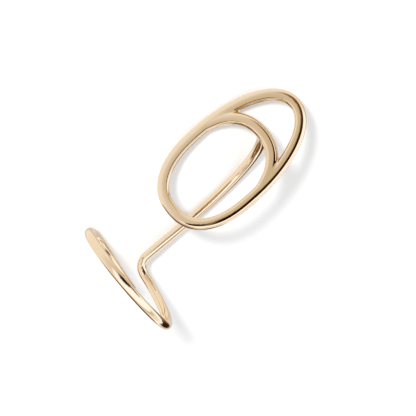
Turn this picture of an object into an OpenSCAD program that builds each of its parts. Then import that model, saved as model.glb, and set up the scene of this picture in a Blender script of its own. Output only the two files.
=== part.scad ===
// Nail ring of polished gold, cast in one piece: an open band for the finger's last joint,
// a stem that follows the finger's pad and curls up past its tip, and a frame over the nail
// with a smile line across it. The modules draw it as it is worn, with the finger pointing
// along +X, the nail facing +Z and the band's centre at the origin. It is stored as it rests:
// lying on its left side on the floor Z = 0, with the finger pointing along +X and the origin
// under the middle of its box.

/* [Band] */
// Inner diameter of the band
band_inner_d = 14.5; // [12:0.1:19]
// Thickness of the wire of the band and the stem
band_wire_d = 1.3; // [1.2:0.1:1.8]
// How far the band leans towards the fingertip where the stem leaves it
stem_side_lean = 1.4; // [1.1:0.1:2]
// How far the free end is set back towards the palm
free_end_setback = 1.4; // [1.2:0.1:2]
// Angle at which the free end stops short of the middle of the pad
free_end_angle = 6; // [0:1:40]

/* [Stem] */
// Distance of the stem from the band's middle, towards the left side
stem_offset = 2.8; // [1:0.1:4]
// Wire taken by the elbow on each side of its corner
elbow_l = 1.8; // [1:0.1:2]
// Pitch of the stem where it meets the smile line
curl_pitch = 88; // [70:1:90]
// How late the stem curls up: 1 is an even bend, more keeps it straight for longer
curl_growth = 1.95; // [1.2:0.05:2.5]

/* [Nail frame] */
// Thickness of the frame's wire
frame_wire_d = 1.6; // [1.4:0.1:2]
// Thickness of the smile line's wire
smile_wire_d = 1.7; // [1.4:0.1:2]
// Outer width of the frame
frame_w = 13.1; // [11:0.1:16]
// Height of the frame above the straight part of the stem, between wire centres
frame_height = 10.5; // [9.5:0.1:13]
// Distance from the band to the frame's widest point
frame_reach = 19; // [18:0.1:24]
// Length of the frame from its widest point to its cuticle end
cuticle_l = 9.4; // [7:0.1:11]
// Length of the frame from its widest point to its tip
tip_l = 13.3; // [12:0.1:18]
// Length from the widest point to the middle of the smile line's wire
smile_l = 6.8; // [5:0.1:7]
// How full each rounded end is: 2 is an ellipse, more is squarer
cuticle_fullness = 2.4; // [2:0.1:3]
tip_fullness = 2.1; // [1.9:0.1:2.6]
smile_fullness = 2.2; // [2:0.1:2.8]
// How far the frame is turned on top of the stem, in degrees
frame_turn = 1.8; // [-3:0.1:3]

/* [Resting pose] */
// Turn about the finger's axis that lays the ring on its left side
rest_roll = -56.4; // [-58:0.1:-55]
// Dip of the fingertip end once the ring lies on its side
rest_pitch = 6.4; // [5:0.1:8]

/* [Hidden] */
tube_sides = 16;
// How late the free end's setback and the stem's thickening come in: more is later
setback_growth = 1.6;
thickening_growth = 4;
// Share of its thickness that the smile line loses where it sinks into the rails
smile_taper = 0.3;
// Balls that fill each sharp corner beside the smile line: how far back from its middle the
// first one lies, the step between them and their diameter
fillet_setback = 2;
fillet_step = 0.3;
fillet_balls = 5;
fillet_d = frame_wire_d * 0.65;

band_r = (band_inner_d + band_wire_d) / 2;
elbow_angle = asin(stem_offset / band_r);
elbow_start = elbow_angle - elbow_l / band_r * 180 / PI;
stem_z = -band_r * cos(elbow_angle);

rail_y = (frame_w - frame_wire_d) / 2;
frame_z = stem_z + frame_height;
smile_apex = [frame_reach + smile_l, stem_offset, frame_z];
cuticle_half = [cuticle_l - frame_wire_d / 2, rail_y, cuticle_fullness];
tip_half = [tip_l - frame_wire_d / 2, rail_y, tip_fullness];
smile_half = [smile_l, rail_y, smile_fullness];

function unit(v) = v / norm(v);
function signed_pow(v, n) = sign(v) * pow(abs(v), n);

// A point of the band: angle a runs round the finger from the pad, left side at 90 degrees,
// nail side at 180 and right side at 270. x is its place along the finger.
function on_band(a, x = 0) = [x, band_r * sin(a), -band_r * cos(a)];
function free_side(a) = on_band(a, -free_end_setback * pow(cos(a), setback_growth));
function stem_side(a) = on_band(a, stem_side_lean * (1 + sin(a)) / (1 + sin(elbow_angle)));

// A round corner from a to c that turns at b
function bend(a, b, c, t) = pow(1 - t, 2) * a + 2 * t * (1 - t) * b + pow(t, 2) * c;

// The wire's path from the free end, round the nail side, to the elbow on the pad
corner = stem_side(elbow_angle);
band_path = concat(
    [for (i = [0:13]) free_side(free_end_angle + i * (90 - free_end_angle) / 14)],
    [for (i = [0:29]) on_band(90 + i * 6)],
    [for (i = [0:15]) stem_side(270 + i * (90 + elbow_start) / 15)],
    [for (i = [1:5]) bend(stem_side(elbow_start), corner, corner + [elbow_l, 0, 0], i / 6)]
);

// The stem's curl: its pitch grows from nothing to curl_pitch in even steps of length
curl_steps = 24;
function curl_slope(i) = curl_pitch * pow((i + 0.5) / curl_steps, curl_growth);
function curl_direction(i) = [cos(curl_slope(i)), 0, sin(curl_slope(i))];
curl_sum = [for (i = [0 : curl_steps - 1]) 1] * [for (i = [0 : curl_steps - 1]) curl_direction(i)];
curl_step = frame_height / curl_sum.z;
curl_start = smile_apex - curl_step * curl_sum;
stem_path = [
    for (i = 0, p = curl_start; i <= curl_steps; p = p + curl_step * curl_direction(i), i = i + 1) p
];
function stem_d(i) =
    band_wire_d + (smile_wire_d - band_wire_d) * pow(i / curl_steps, thickening_growth);

// Points of a half oval of given [length, half width, fullness], at angle t from its middle
function on_half_oval(half, t) = [
    half[0] * pow(cos(t), 2 / half[2]),
    half[1] * signed_pow(sin(t), 2 / half[2]),
    0
];
function mirrored(p) = [-p.x, p.y, p.z];
// Half width of a half oval at the distance x ahead of its widest point
function half_oval_y(half, x) = half[1] * pow(1 - pow(x / half[0], half[2]), 1 / half[2]);

// The frame in its own plane, its widest point at the origin
oval_path = concat(
    [for (i = [0:35]) on_half_oval(tip_half, -90 + i * 5)],
    [for (i = [0:29]) mirrored(on_half_oval(cuticle_half, 90 - i * 6))]
);
smile_end = 84;
smile_path = [for (i = [-14:14]) on_half_oval(smile_half, smile_end * i / 14)];
smile_d = [for (i = [-14:14]) smile_wire_d * (1 - smile_taper * pow(abs(i / 14), 8))];

// The direction of travel at each point of a path, and the side direction carried along it
function directions(path, closed) = let (n = len(path)) [
    for (i = [0 : n - 1])
        unit(path[closed ? (i + 1) % n : min(i + 1, n - 1)] - path[closed ? (i + n - 1) % n : max(i - 1, 0)])
];
function across(v, d) = unit(v - (v * d) * d);
function sides(dirs, first) = [
    for (i = 0, s = across(first, dirs[0]);
        i < len(dirs);
        s = across(s, dirs[min(i + 1, len(dirs) - 1)]), i = i + 1) s
];

// A round wire along a path. d is its thickness, or one thickness for each point.
module tube(path, d, closed = false, first_side = [0, 0, 1]) {
    n = len(path);
    k = tube_sides;
    dirs = directions(path, closed);
    side = sides(dirs, first_side);
    points = [
        for (i = [0 : n - 1], j = [0 : k - 1])
            let (r = (is_list(d) ? d[i] : d) / 2, a = 360 * j / k)
                path[i] + r * (cos(a) * side[i] + sin(a) * cross(dirs[i], side[i]))
    ];
    walls = [
        for (i = [0 : closed ? n - 1 : n - 2], j = [0 : k - 1])
            let (near = i * k, far = (i + 1) % n * k, next = (j + 1) % k)
                each [[near + j, far + j, far + next], [near + j, far + next, near + next]]
    ];
    ends = closed ? [] : [[for (j = [0 : k - 1]) j], [for (j = [k - 1 : -1 : 0]) (n - 1) * k + j]];
    polyhedron(points, concat(walls, ends));
}

// Balls joined one to the next, for the fillets of the casting
module joined_balls(centres, d) {
    for (i = [1 : len(centres) - 1])
        hull() {
            translate(centres[i - 1]) sphere(d = d, $fn = tube_sides);
            translate(centres[i]) sphere(d = d, $fn = tube_sides);
        }
}

// The band with its rounded free end, and the wire on round the elbow to the start of the curl
module band() {
    tube(concat(band_path, [corner + [elbow_l, 0, 0], curl_start]), band_wire_d, first_side = [1, 0, 0]);
    translate(band_path[0]) sphere(d = band_wire_d, $fn = tube_sides);
}

// The curl, which thickens to the smile line's wire where it runs up into the smile line
module stem() {
    tube(stem_path, [for (i = [0 : curl_steps]) stem_d(i)], first_side = [0, 1, 0]);
}

module on_the_nail() {
    translate(smile_apex) rotate([0, 0, frame_turn]) translate([-smile_l, 0, 0]) children();
}

module nail_frame() {
    tube(oval_path, frame_wire_d, closed = true);
}

// The arc across the frame, whose ends run into the rails
module smile_line() {
    tube(smile_path, smile_d);
    for (side = [-1, 1])
        corner_fillet(side);
}

// Metal in the sharp corner of the tip opening, between the rail and the smile line
module corner_fillet(side) {
    joined_balls([
        for (i = [0 : fillet_balls - 1])
            let (x = smile_l - fillet_setback + fillet_step * i)
                [x, side * (half_oval_y(tip_half, x) + half_oval_y(smile_half, x)) / 2, 0]
    ], fillet_d);
}

module worn() {
    color([0.90, 0.73, 0.47]) {
        band();
        stem();
        on_the_nail() {
            nail_frame();
            smile_line();
        }
    }
}

// Where a point of the worn ring comes to once the ring lies on its side
function rolled(p) = [
    p.x,
    p.y * cos(rest_roll) - p.z * sin(rest_roll),
    p.y * sin(rest_roll) + p.z * cos(rest_roll)
];
function dipped(p) = [
    p.x * cos(rest_pitch) + p.z * sin(rest_pitch),
    p.y,
    p.z * cos(rest_pitch) - p.x * sin(rest_pitch)
];
function turned(p) = [
    p.x * cos(frame_turn) - p.y * sin(frame_turn),
    p.x * sin(frame_turn) + p.y * cos(frame_turn),
    p.z
];
frame_path = [for (p = oval_path) smile_apex + turned(p - [smile_l, 0, 0])];
resting_points = [for (p = concat(band_path, stem_path, frame_path)) dipped(rolled(p))];
wire_r = concat(
    [for (p = band_path) band_wire_d / 2],
    [for (i = [0 : curl_steps]) stem_d(i) / 2],
    [for (p = frame_path) frame_wire_d / 2]
);
low = [for (axis = [0:2]) min([for (i = [0 : len(wire_r) - 1]) resting_points[i][axis] - wire_r[i]])];
high = [for (axis = [0:2]) max([for (i = [0 : len(wire_r) - 1]) resting_points[i][axis] + wire_r[i]])];

module nail_ring() {
    translate([-(low.x + high.x) / 2, -(low.y + high.y) / 2, -low.z])
        rotate([rest_roll, rest_pitch, 0]) worn();
}

nail_ring();
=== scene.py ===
from math import asin, cos, degrees, radians, sin

import bpy
from mathutils import Matrix, Vector


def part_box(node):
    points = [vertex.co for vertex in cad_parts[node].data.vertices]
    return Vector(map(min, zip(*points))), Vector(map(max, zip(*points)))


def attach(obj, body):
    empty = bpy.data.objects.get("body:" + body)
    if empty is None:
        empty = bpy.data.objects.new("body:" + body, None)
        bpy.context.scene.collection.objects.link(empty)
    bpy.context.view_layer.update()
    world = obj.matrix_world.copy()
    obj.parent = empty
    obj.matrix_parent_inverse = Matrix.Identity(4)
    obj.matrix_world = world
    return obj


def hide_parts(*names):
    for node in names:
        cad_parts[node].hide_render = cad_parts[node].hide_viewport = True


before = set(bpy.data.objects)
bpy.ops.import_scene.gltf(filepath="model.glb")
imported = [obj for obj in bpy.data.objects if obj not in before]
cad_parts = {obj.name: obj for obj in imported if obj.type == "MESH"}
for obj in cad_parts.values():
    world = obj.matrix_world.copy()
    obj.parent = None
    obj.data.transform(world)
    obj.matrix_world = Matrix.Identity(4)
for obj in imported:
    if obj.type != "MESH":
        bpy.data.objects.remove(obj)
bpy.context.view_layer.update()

# The band: a round brass wire that goes round the finger's last joint, open under the pad, and
# is cast in one with the rest. It is drawn as it is worn, in millimetres: the finger points
# along +X, the nail faces +Z, and the angle runs from the pad (0) over the left side (90).
BAND_INNER_D = 14.5
BAND_WIRE = 1.3
BAND_R = (BAND_INNER_D + BAND_WIRE) / 2
FREE_END_ANGLE = 6
FREE_END_SETBACK = 1.4
SETBACK_GROWTH = 1.6
STEM_SIDE_LEAN = 1.4
STEM_OFFSET = 2.8
ELBOW_L = 1.8
ELBOW_ANGLE = degrees(asin(STEM_OFFSET / BAND_R))
ELBOW_START = ELBOW_ANGLE - degrees(ELBOW_L / BAND_R)
FREE_SIDE_STEPS = 20
NAIL_SIDE_STEPS = 45
STEM_SIDE_STEPS = 22
ELBOW_STEPS = 12
WIRE_SIDES = 32
END_ANGLES = (20, 40, 60, 80)
SMALLEST_TURN = 1e-7


def on_band(angle, along):
    turn = radians(angle)
    return Vector((along, BAND_R * sin(turn), -BAND_R * cos(turn)))


def free_side(angle):
    return on_band(angle, -FREE_END_SETBACK * cos(radians(angle)) ** SETBACK_GROWTH)


def stem_side(angle):
    share = (1 + sin(radians(angle))) / (1 + sin(radians(ELBOW_ANGLE)))
    return on_band(angle, STEM_SIDE_LEAN * share)


def rounded_ends(path, thickness):
    """Adds a half ball to each end of a wire, as further points that get thinner."""
    for _ in range(2):
        way = (path[-1] - path[-2]).normalized()
        last, radius = path[-1], thickness[-1] / 2
        path = path + [last + way * radius * sin(radians(a)) for a in END_ANGLES]
        thickness = thickness + [2 * radius * cos(radians(a)) for a in END_ANGLES]
        path, thickness = path[::-1], thickness[::-1]
    return path, thickness


def ways_along(path, closed):
    """The direction in which a wire runs at each point of its path."""
    last = len(path) - 1
    ways = []
    for i in range(len(path)):
        ahead = path[(i + 1) % len(path)] if closed else path[min(i + 1, last)]
        behind = path[i - 1] if closed or i else path[0]
        ways.append((ahead - behind).normalized())
    return ways


def drawn_wire(name, path, thickness, closed=False):
    """Extrudes a round section along a path and turns it to the path's way at each point."""
    if not closed:
        path, thickness = rounded_ends(path, thickness)
    ways = ways_along(path, closed)
    bpy.ops.object.select_all(action="DESELECT")
    bpy.ops.mesh.primitive_circle_add(
        vertices=WIRE_SIDES,
        radius=thickness[0] / 2,
        location=path[0],
        rotation=ways[0].to_track_quat("Z", "Y").to_euler(),
        fill_type="NOTHING" if closed else "NGON",
    )
    wire = bpy.context.object
    wire.name = name
    bpy.ops.object.mode_set(mode="EDIT")
    for i in range(1, len(path)):
        bpy.ops.mesh.extrude_region_move(TRANSFORM_OT_translate={"value": path[i] - path[i - 1]})
        turn = ways[i - 1].rotation_difference(ways[i]).to_euler()
        for axis, angle in zip("XYZ", turn):
            if abs(angle) > SMALLEST_TURN:
                bpy.ops.transform.rotate(value=-angle, orient_axis=axis, center_override=path[i])
        if thickness[i] != thickness[i - 1]:
            growth = thickness[i] / thickness[i - 1]
            bpy.ops.transform.resize(value=(growth, growth, growth), center_override=path[i])
    if closed:
        bpy.ops.mesh.select_all(action="DESELECT")
        bpy.ops.mesh.select_non_manifold()
        bpy.ops.mesh.bridge_edge_loops()
    bpy.ops.mesh.select_all(action="SELECT")
    bpy.ops.mesh.normals_make_consistent(inside=False)
    bpy.ops.object.mode_set(mode="OBJECT")
    bpy.ops.object.transform_apply(location=True, rotation=True, scale=True)
    return wire


corner = stem_side(ELBOW_ANGLE)
elbow_from = stem_side(ELBOW_START)
elbow_to = corner + Vector((ELBOW_L, 0, 0))
band_path = [
    free_side(FREE_END_ANGLE + i * (90 - FREE_END_ANGLE) / FREE_SIDE_STEPS)
    for i in range(FREE_SIDE_STEPS)
]
band_path += [on_band(90 + i * 180 / NAIL_SIDE_STEPS, 0) for i in range(NAIL_SIDE_STEPS)]
band_path += [
    stem_side(270 + i * (90 + ELBOW_START) / STEM_SIDE_STEPS) for i in range(STEM_SIDE_STEPS)
]
band_path += [
    elbow_from * (1 - t) ** 2 + corner * (2 * t * (1 - t)) + elbow_to * t**2
    for t in [i / ELBOW_STEPS for i in range(ELBOW_STEPS + 1)]
]

# The stem: the band's wire goes on past the elbow, straight along the pad, and curls up round
# the fingertip. It thickens near the top, where it is cast into the smile line.
FRAME_WIRE = 1.6
SMILE_WIRE = 1.7
FRAME_HEIGHT = 10.5
FRAME_REACH = 19
SMILE_L = 6.8
CURL_PITCH = 88
CURL_GROWTH = 1.95
CURL_STEPS = 48
THICKENING_GROWTH = 4

frame_z = corner.z + FRAME_HEIGHT
smile_apex = Vector((FRAME_REACH + SMILE_L, STEM_OFFSET, frame_z))
curl_ways = []
for i in range(CURL_STEPS):
    slope = radians(CURL_PITCH * ((i + 0.5) / CURL_STEPS) ** CURL_GROWTH)
    curl_ways.append(Vector((cos(slope), 0, sin(slope))))
curl_sum = sum(curl_ways, Vector((0, 0, 0)))
curl_step = FRAME_HEIGHT / curl_sum.z
curl_path = [smile_apex - curl_sum * curl_step]
for way in curl_ways:
    curl_path.append(curl_path[-1] + way * curl_step)
curl_thickness = [
    BAND_WIRE + (SMILE_WIRE - BAND_WIRE) * (i / CURL_STEPS) ** THICKENING_GROWTH
    for i in range(CURL_STEPS + 1)
]
shank = drawn_wire(
    "shank", band_path + curl_path, [BAND_WIRE] * len(band_path) + curl_thickness
)

# The nail frame: a closed oval of thicker round wire that lies over the nail, blunter at the
# cuticle and pointed at the tip, turned a little on the stem that carries it.
FRAME_W = 13.1
CUTICLE_L = 9.4
TIP_L = 13.3
CUTICLE_FULLNESS = 2.4
TIP_FULLNESS = 2.1
SMILE_FULLNESS = 2.2
FRAME_TURN = 1.8
TIP_STEPS = 72
CUTICLE_STEPS = 60

rail_y = (FRAME_W - FRAME_WIRE) / 2
tip_half = (TIP_L - FRAME_WIRE / 2, TIP_FULLNESS)
cuticle_half = (CUTICLE_L - FRAME_WIRE / 2, CUTICLE_FULLNESS)
smile_half = (SMILE_L, SMILE_FULLNESS)
on_the_nail = (
    Matrix.Translation(smile_apex)
    @ Matrix.Rotation(radians(FRAME_TURN), 4, "Z")
    @ Matrix.Translation((-SMILE_L, 0, 0))
)


def on_half_oval(half, angle, way=1):
    """A point of a half oval of given length and fullness, at an angle from its middle."""
    oval_l, fullness = half
    c, s = cos(radians(angle)), sin(radians(angle))
    ahead = way * oval_l * abs(c) ** (2 / fullness)
    aside = rail_y * abs(s) ** (2 / fullness)
    return on_the_nail @ Vector((ahead, aside if s > 0 else -aside, 0))


frame_path = [on_half_oval(tip_half, -90 + i * 180 / TIP_STEPS) for i in range(TIP_STEPS)]
frame_path += [
    on_half_oval(cuticle_half, 90 - i * 180 / CUTICLE_STEPS, way=-1) for i in range(CUTICLE_STEPS)
]
nail_frame = drawn_wire("nail_frame", frame_path, [FRAME_WIRE] * len(frame_path), closed=True)

# The smile line: an arc of wire across the frame, where a nail's white tip begins. Its ends
# sink into the rails, and metal from the casting fills the sharp corners beside them.
SMILE_END = 84
SMILE_TAPER = 0.3
SMILE_TAPER_GROWTH = 8
SMILE_STEPS = 30
FILLET_WIRE = FRAME_WIRE * 0.65
FILLET_SETBACK = 2
FILLET_L = 1.5
FILLET_TAPER = 0.75
FILLET_STEPS = 6

smile_shares = [i / SMILE_STEPS for i in range(-SMILE_STEPS, SMILE_STEPS + 1)]
smile_line = drawn_wire(
    "smile_line",
    [on_half_oval(smile_half, SMILE_END * t) for t in smile_shares],
    [SMILE_WIRE * (1 - SMILE_TAPER * abs(t) ** SMILE_TAPER_GROWTH) for t in smile_shares],
)


def half_oval_y(half, x):
    oval_l, fullness = half
    return rail_y * (1 - (x / oval_l) ** fullness) ** (1 / fullness)


fillets = []
for side in (-1, 1):
    corner_path = []
    fillet_thickness = []
    for i in range(FILLET_STEPS + 1):
        x = SMILE_L - FILLET_SETBACK + FILLET_L * i / FILLET_STEPS
        middle = (half_oval_y(tip_half, x) + half_oval_y(smile_half, x)) / 2
        corner_path.append(on_the_nail @ Vector((x, side * middle, 0)))
        fillet_thickness.append(FILLET_WIRE * (1 - FILLET_TAPER * (i / FILLET_STEPS) ** 2))
    fillets.append(drawn_wire("fillet", corner_path, fillet_thickness))

# The casting: all the wires are one skin of metal, whose joints the polishing wheel has rounded.
# The ring is laid down on its left side, as it rests by itself, in metres.
SKIN_STEP = 0.115
POLISHING_ROUNDS = 8
POLISHING_FORCE = 0.5
REST_ROLL = -56.4
REST_PITCH = 6.4
MM = 0.001

bpy.ops.object.select_all(action="DESELECT")
for wire in [shank, nail_frame, smile_line, *fillets]:
    wire.select_set(True)
bpy.context.view_layer.objects.active = shank
bpy.ops.object.join()
ring = bpy.context.object
ring.name = "gold_nail_ring"
skin = ring.modifiers.new("casting", "REMESH")
skin.mode = "VOXEL"
skin.voxel_size = SKIN_STEP
bpy.ops.object.modifier_apply(modifier=skin.name)
polish = ring.modifiers.new("polishing", "SMOOTH")
polish.factor = POLISHING_FORCE
polish.iterations = POLISHING_ROUNDS
bpy.ops.object.modifier_apply(modifier=polish.name)
bpy.ops.object.mode_set(mode="EDIT")
bpy.ops.mesh.select_all(action="SELECT")
bpy.ops.transform.rotate(value=-radians(REST_ROLL), orient_axis="X", center_override=(0, 0, 0))
bpy.ops.transform.rotate(value=-radians(REST_PITCH), orient_axis="Y", center_override=(0, 0, 0))
bpy.ops.transform.resize(value=(MM, MM, MM), center_override=(0, 0, 0))
low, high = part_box("nail_ring")
bpy.ops.object.mode_set(mode="OBJECT")
corners = [Vector(c) for c in ring.bound_box]
ring_low = Vector([min(c[axis] for c in corners) for axis in range(3)])
ring_high = Vector([max(c[axis] for c in corners) for axis in range(3)])
ring.location = (low + high) / 2 - (ring_low + ring_high) / 2
bpy.ops.object.transform_apply(location=True, rotation=False, scale=False)
bpy.ops.object.shade_smooth()

# Its finish: pale gold plate over the brass, polished bright. The tint drifts a little where the
# plate is thinner, fine wheel marks blur the shine in patches, and the face isn't quite even.
# Each kind of unevenness has its scale, in patches a metre, and its detail.
GOLD = (0.8, 0.617, 0.39, 1)
ROSY_GOLD = (0.79, 0.6, 0.4, 1)
DRIFT = (260, 2)
WHEEL_MARKS = (2200, 4)
WAVES = (420, 1)
BRIGHT_ROUGHNESS = 0.04
MARKS_ROUGHNESS = 0.08
MARKS_DEPTH = 0.1
WAVES_STRENGTH = 0.2
WAVES_HEIGHT = 0.00003


class Field:
    """A shader socket that sums and products can be written with."""

    def __init__(self, tree, socket):
        self.tree, self.socket = tree, socket

    def node(self, kind, inputs=(), output=0, **settings):
        made = self.tree.nodes.new(kind)
        for name, value in settings.items():
            setattr(made, name, value)
        for name, value in dict(inputs).items():
            if isinstance(value, Field):
                self.tree.links.new(value.socket, made.inputs[name])
            else:
                made.inputs[name].default_value = value
        return Field(self.tree, made.outputs[output])

    def maths(self, operation, other=0):
        return self.node("ShaderNodeMath", {0: self, 1: other}, operation=operation)

    def __add__(self, other):
        return self.maths("ADD", other)

    def __sub__(self, other):
        return self.maths("SUBTRACT", other)

    def __mul__(self, other):
        return self.maths("MULTIPLY", other)

    __radd__ = __add__
    __rmul__ = __mul__

    def __rsub__(self, other):
        return self.node("ShaderNodeMath", {0: other, 1: self}, operation="SUBTRACT")


def new_material(name):
    material = bpy.data.materials.new(name)
    material.use_nodes = True
    tree = material.node_tree
    shader = tree.nodes["Principled BSDF"]
    place = Field(tree, None).node("ShaderNodeTexCoord", output="Object")
    return material, tree, shader, place


def noise(place, scale, detail):
    return place.node("ShaderNodeTexNoise", {"Vector": place, "Scale": scale, "Detail": detail})


def blend(share, first, second):
    """Goes from the first colour to the second as the share goes from 0 to 1."""
    return share.node(
        "ShaderNodeMix", {"Factor": share, "A": first, "B": second}, output=2, data_type="RGBA"
    )


gold, gold_tree, gold_shader, on_ring = new_material("polished_pale_gold")
tint = blend(noise(on_ring, *DRIFT), GOLD, ROSY_GOLD)
marks = noise(on_ring, *WHEEL_MARKS)
bumps = on_ring.node(
    "ShaderNodeBump",
    {
        "Height": noise(on_ring, *WAVES) + marks * MARKS_DEPTH,
        "Strength": WAVES_STRENGTH,
        "Distance": WAVES_HEIGHT,
    },
    output="Normal",
)
roughness = BRIGHT_ROUGHNESS + marks * MARKS_ROUGHNESS
gold_shader.inputs["Metallic"].default_value = 1
gold_tree.links.new(tint.socket, gold_shader.inputs["Base Color"])
gold_tree.links.new(roughness.socket, gold_shader.inputs["Roughness"])
gold_tree.links.new(bumps.socket, gold_shader.inputs["Normal"])
ring.data.materials.clear()
ring.data.materials.append(gold)
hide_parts("nail_ring")
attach(ring, "root")

# The floor: a wide sheet of matt white paper on the table, on which the ring lies. The metal
# doesn't mirror it, so that the glowing tent's painted reflection shows on the wires' undersides.
PAPER_SIZE = 4
PAPER_WHITE = (0.8, 0.8, 0.8, 1)
PAPER_ROUGHNESS = 0.9
PAPER_GLOSS = 0.1

bpy.ops.object.select_all(action="DESELECT")
bpy.ops.mesh.primitive_plane_add(size=PAPER_SIZE, location=(0, 0, 0))
floor = bpy.context.object
floor.name = "paper"
paper, _, paper_shader, _ = new_material("white_paper")
paper_shader.inputs["Base Color"].default_value = PAPER_WHITE
paper_shader.inputs["Roughness"].default_value = PAPER_ROUGHNESS
paper_shader.inputs["Specular IOR Level"].default_value = PAPER_GLOSS
floor.data.materials.append(paper)
floor.visible_glossy = False

# The camera: a long lens on a stand, 0.35 m from the ring and turned so that the ring lies
# across the picture as photographed. White paper is shown as white, without a film curve.
CAMERA_PLACE = (0.04941, 0.229135, 0.265494)
CAMERA_TURN = (-39.037, -17.332, -32.561)
FOCAL_MM = 230.64
SENSOR_MM = 36
NEAREST, FARTHEST = 0.01, 20

bpy.ops.object.camera_add(location=CAMERA_PLACE, rotation=[radians(a) for a in CAMERA_TURN])
camera = bpy.context.object
camera.data.lens = FOCAL_MM
camera.data.sensor_width = SENSOR_MM
camera.data.clip_start = NEAREST
camera.data.clip_end = FARTHEST
bpy.context.scene.camera = camera
bpy.context.scene.view_settings.view_transform = "Standard"
bpy.context.view_layer.update()
view_axes = camera.matrix_world.to_3x3()

# The lamp and the room: a small round lamp on a stand throws the pale, soft shadow, and white
# walls all round fill it. The lamp's way is given as right, up and towards the camera.
KEY_WAY = Vector((-0.15, 0.11, 1))
KEY_AWAY = 0.45
KEY_SIZE = 0.055
KEY_WATTS = 1.6
WALL_WHITE = (1, 1, 1, 1)

bpy.ops.object.light_add(type="AREA")
key = bpy.context.object
key.name = "key_lamp"
key.location = (view_axes @ KEY_WAY).normalized() * KEY_AWAY
key.rotation_euler = key.location.to_track_quat("Z", "Y").to_euler()
key.data.shape = "DISK"
key.data.size = KEY_SIZE
key.data.energy = KEY_WATTS
key.visible_glossy = False
room = bpy.data.worlds.new("white_room")
bpy.context.scene.world = room
room.use_nodes = True
room.node_tree.nodes["Background"].inputs["Color"].default_value = WALL_WHITE

# The card: a round disc held close over the ring, seen in the metal alone, that glows by itself
# as a painted reflection: tan for the wires' body, a black crescent with a brown rim as a painted
# dark line on every wire, the cream beyond it as a painted highlight along the edge, and a black
# spot as the painted dark wedge on the band.
CARD_R = 75
CARD_AWAY = 10.8
CARD_SIDES = 96
RING_MIDDLE = Vector((0, 0, 8))
TAN, PALE_TAN = (0.75, 0.71, 0.63, 1), (1.08, 1.13, 1.26, 1)
PALE_WAY_X, PALE_WAY_Y, PALE_L = -1.4, 0.89, 40
CREAM = (1.4, 1.55, 1.9, 1)
RIM_BROWN = (0.5, 0.33, 0.14, 1)
BLACK, BROWN = (0.016, 0.003, 0.0005, 1), (0.3, 0.14, 0.05, 1)
# The paint's places are in mm from the card's middle and its bearings in degrees. A pair in
# brackets says where a change starts and where it is complete.
BROWNING = (-20, 70)
INNER_X, INNER_Y, INNER_R, INNER_EDGE = -0.5, 13, 12.2, 2
OUTER_X, OUTER_Y, OUTER_R, OUTER_EDGE = -0.4, 15, 24, 1.5
INNER_GROWTH, INNER_GROWING = 2, (-66, -90)
OUTER_SHRINK, OUTER_SHRINKING = 3, (-85, -60)
RIM = 1.4
DARK_BEARINGS = {"start": -98, "end": 60, "fade_in": 9, "fade_out": 20}
CREAM_BEARINGS = {"start": -129, "end": 30, "fade_in": 4, "fade_out": 20}
CREAM_L, CREAM_FADE, CREAM_WIDENS = 14, 10, (-60, -45)
SPOT_X, SPOT_Y, SPOT_L, SPOT_W, SPOT_TURN = -8.1, -5.6, 5, 2.5, 30
SPOT_FADE = (1.4, 0.7)


def mirrored_only(piece, material, tree, shader, glow):
    """Makes a stage piece that glows by itself, seen in the metal alone as a painted reflection.
    """
    piece.visible_camera = piece.visible_diffuse = piece.visible_shadow = False
    shader.inputs["Base Color"].default_value = (0, 0, 0, 1)
    shader.inputs["Specular IOR Level"].default_value = 0
    shader.inputs["Emission Strength"].default_value = 1
    tree.links.new(glow.socket, shader.inputs["Emission Color"])
    piece.data.materials.append(material)


def coordinate(place, axis):
    return place.node("ShaderNodeSeparateXYZ", {"Vector": place}, output=axis)


def step(field, start, end):
    """Goes smoothly from 0 to 1 as the field goes from start to end."""
    return field.node(
        "ShaderNodeMapRange",
        {"Value": field, "From Min": start, "From Max": end},
        interpolation_type="SMOOTHSTEP",
    )


def between(field, start, end, fade_in, fade_out):
    """Is 1 between start and end, and fades to 0 on both sides."""
    rise = step(field, start - fade_in, start + fade_in)
    return rise * step(field, end + fade_out, end - fade_out)


def distance(x, y):
    return (x * x + y * y).maths("SQRT")


bpy.ops.object.select_all(action="DESELECT")
bpy.ops.mesh.primitive_circle_add(vertices=CARD_SIDES, radius=CARD_R, fill_type="NGON")
card = bpy.context.object
card.name = "glowing_reflection_card"
card_place = RING_MIDDLE + view_axes @ Vector((0, 0, CARD_AWAY))
card.matrix_world = Matrix.Scale(MM, 4) @ Matrix.Translation(card_place) @ view_axes.to_4x4()
paint, paint_tree, paint_shader, on_card = new_material("painted_reflections")
right, top = coordinate(on_card, "X"), coordinate(on_card, "Y")
bearing = (top - INNER_Y).maths("ARCTAN2", right - INNER_X) * degrees(1)
inner_r = INNER_R + step(bearing, *INNER_GROWING) * INNER_GROWTH
outer_r = OUTER_R - step(bearing, *OUTER_SHRINKING) * OUTER_SHRINK
past_inner = distance(right - INNER_X, top - INNER_Y) - inner_r
past_outer = distance(right - OUTER_X, top - OUTER_Y) - outer_r
dark_bearings = between(bearing, **DARK_BEARINGS)
beyond = step(past_outer, -OUTER_EDGE / 2, OUTER_EDGE / 2)
crescent = step(past_inner, -INNER_EDGE / 2, INNER_EDGE / 2) * (1 - beyond) * dark_bearings
rim_in = step(past_inner, -INNER_EDGE / 2 - RIM, INNER_EDGE / 2)
rim_out = step(past_outer, OUTER_EDGE / 2 + RIM, -OUTER_EDGE / 2)
cream_near = step(past_outer, CREAM_L + CREAM_FADE, CREAM_L)
cream_reach = cream_near.maths("MAXIMUM", step(bearing, *CREAM_WIDENS))
cream = beyond * between(bearing, **CREAM_BEARINGS) * cream_reach
turn_cos, turn_sin = cos(radians(SPOT_TURN)), sin(radians(SPOT_TURN))
along_spot = (right - SPOT_X) * turn_cos + (top - SPOT_Y) * turn_sin
across_spot = (top - SPOT_Y) * turn_cos - (right - SPOT_X) * turn_sin
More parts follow.
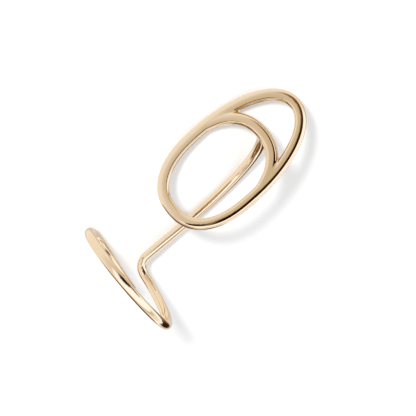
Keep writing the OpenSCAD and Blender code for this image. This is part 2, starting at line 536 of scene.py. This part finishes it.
spot = step(distance(along_spot * (1 / SPOT_L), across_spot * (1 / SPOT_W)), *SPOT_FADE)
# Painted reflection: tan paler to one side, under the highlight, brown rim, dark line and wedge.
card_glow = blend(step(right * PALE_WAY_X + top * PALE_WAY_Y, 0, PALE_L), TAN, PALE_TAN)
card_glow = blend(cream, card_glow, CREAM)
card_glow = blend(rim_in * rim_out * dark_bearings, card_glow, RIM_BROWN)
card_glow = blend(crescent, card_glow, blend(step(bearing, *BROWNING), BLACK, BROWN))
card_glow = blend(spot, card_glow, BLACK)
mirrored_only(card, paint, paint_tree, paint_shader, card_glow)

# The flags: two black ovals that glow faintly by themselves, fade out at the rim and are browner
# to one side, seen in the metal alone as painted dark reflections. One paints the band's tip dark
# and the other the top of the stem.
# Each has its middle in mm, its half length and half width, and its turn in degrees.
FLAGS = {
    "tip_dark_reflection_flag": (Vector((-10.5, -11.8, 14.6)), 10, 4.2, -22),
    "stem_dark_reflection_flag": (Vector((2.3, -21.6, 2.5)), 9.5, 6.5, 180),
}
FLAG_SIDES = 96
FLAG_EDGE_FADE = (1, 0.65)
REFLECTED_BLACK, REFLECTED_BROWN = (0.04, 0.014, 0.006, 1), (0.4, 0.24, 0.12, 1)
REFLECTED_BROWNING = (-0.1, 0.5)

dark_reflection, dark_reflection_tree, dark_reflection_shader, on_flag = new_material("painted_dark_reflection")
flag_x, flag_y = coordinate(on_flag, "X"), coordinate(on_flag, "Y")
dark_reflection_tree.links.new(step(distance(flag_x, flag_y), *FLAG_EDGE_FADE).socket, dark_reflection_shader.inputs["Alpha"])
# Painted dark reflection: a black glow, browner to one side.
dark_reflection_glow = blend(step(flag_x, *REFLECTED_BROWNING), REFLECTED_BLACK, REFLECTED_BROWN)
for name, (place, half_l, half_w, turn) in FLAGS.items():
    bpy.ops.mesh.primitive_circle_add(vertices=FLAG_SIDES, radius=1, fill_type="NGON")
    flag = bpy.context.object
    flag.name = name
    flag_way = Matrix.Rotation(radians(90), 4, "X") @ Matrix.Rotation(radians(turn), 4, "Z")
    flag_form = Matrix.Diagonal((half_l, half_w, 1, 1))
    flag.matrix_world = Matrix.Scale(MM, 4) @ Matrix.Translation(place) @ flag_way @ flag_form
    mirrored_only(flag, dark_reflection, dark_reflection_tree, dark_reflection_shader, dark_reflection_glow)

# The tent: a white sphere round and under the table that glows by itself, seen in the metal alone
# as a painted reflection of the room. In front, a cream band just above the table is a painted
# highlight and a duller band below it painted shade, and a brown patch low at its left paints a
# dark reflection.
# Its heights and depths are in metres from the table's middle.
TENT_R = 0.6
TENT_SIDES, TENT_RINGS = 64, 32
TENT_GLOW_LOW, TENT_GLOW_WHITE = (1.13, 1.15, 1.19, 1), (1.08, 1.14, 1.28, 1)
TENT_HIGHLIGHT_CREAM, TENT_SHADE_DULL = (1.35, 1.52, 1.85, 1), (0.8, 0.76, 0.7, 1)
LIGHTENS = (-0.15, 0.1)
FRONT = (-0.03, -0.22)
CREAM_BEGINS, CREAM_ENDS = (-0.12, 0), (0.33, 0.15)
DARK_PATCH_BROWN = (0.22, 0.12, 0.05, 1)
DARK_PATCH_WAY = Vector((-0.88, -0.4, -0.06))
DARK_PATCH_EDGE = (0.84, 0.93)

bpy.ops.mesh.primitive_uv_sphere_add(segments=TENT_SIDES, ring_count=TENT_RINGS, radius=TENT_R)
tent = bpy.context.object
tent.name = "glowing_white_tent"
room_reflection, room_reflection_tree, room_reflection_shader, on_tent = new_material("painted_room_reflection")
height = coordinate(on_tent, "Z")
front = step(coordinate(on_tent, "Y"), *FRONT)
above_table = step(height, *CREAM_BEGINS)
to_dark_patch = on_tent.node(
    "ShaderNodeVectorMath",
    {0: on_tent, 1: DARK_PATCH_WAY.normalized() / TENT_R},
    output="Value",
    operation="DOT_PRODUCT",
)
# Painted reflection: paler upwards, then painted shade, painted highlight and a dark patch.
tent_glow = blend(step(height, *LIGHTENS), TENT_GLOW_LOW, TENT_GLOW_WHITE)
tent_glow = blend(front * (1 - above_table), tent_glow, TENT_SHADE_DULL)
tent_glow = blend(front * above_table * step(height, *CREAM_ENDS), tent_glow, TENT_HIGHLIGHT_CREAM)
tent_glow = blend(step(to_dark_patch, *DARK_PATCH_EDGE), tent_glow, DARK_PATCH_BROWN)
mirrored_only(tent, room_reflection, room_reflection_tree, room_reflection_shader, tent_glow)
